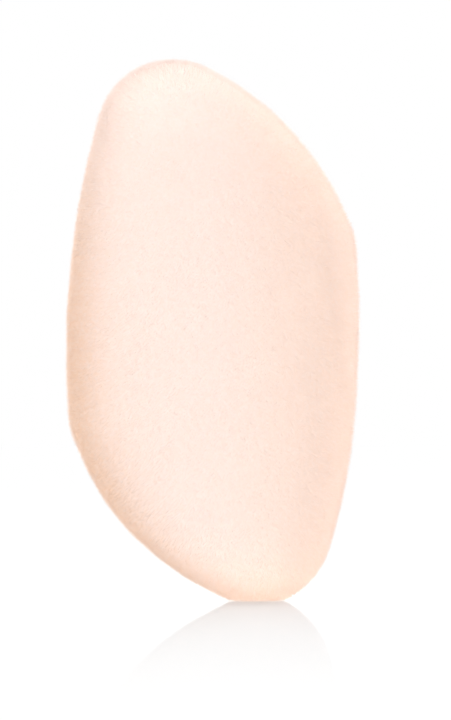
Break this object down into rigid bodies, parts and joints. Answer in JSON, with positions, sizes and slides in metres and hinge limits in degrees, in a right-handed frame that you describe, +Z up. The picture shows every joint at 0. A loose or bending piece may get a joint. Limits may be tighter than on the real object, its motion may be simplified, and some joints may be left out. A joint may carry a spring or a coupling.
{
  "type": "makeup sponge",
  "caption": "Flocked makeup sponge: a slanted lozenge of foam with rounded edges and a velvety fibre skin, for pressing and blending powder or cream.",
  "frame": {"origin": "below the middle of the sponge, on the surface that its lower tip rests on", "axes": "+Z up along the length, +X to the right as seen from the front, front face towards -Y"},
  "size_m": [0.0406, 0.02, 0.075],
  "materials": {
    "foam": "matte",
    "bond_coat": "satin",
    "flock": "matte"
  },
  "bodies": {
    "root": {"foam_core": "foam", "front_bond_coat": "bond_coat", "back_bond_coat": "bond_coat", "front_flock": "flock", "back_flock": "flock"}
  },
  "joints": []
}
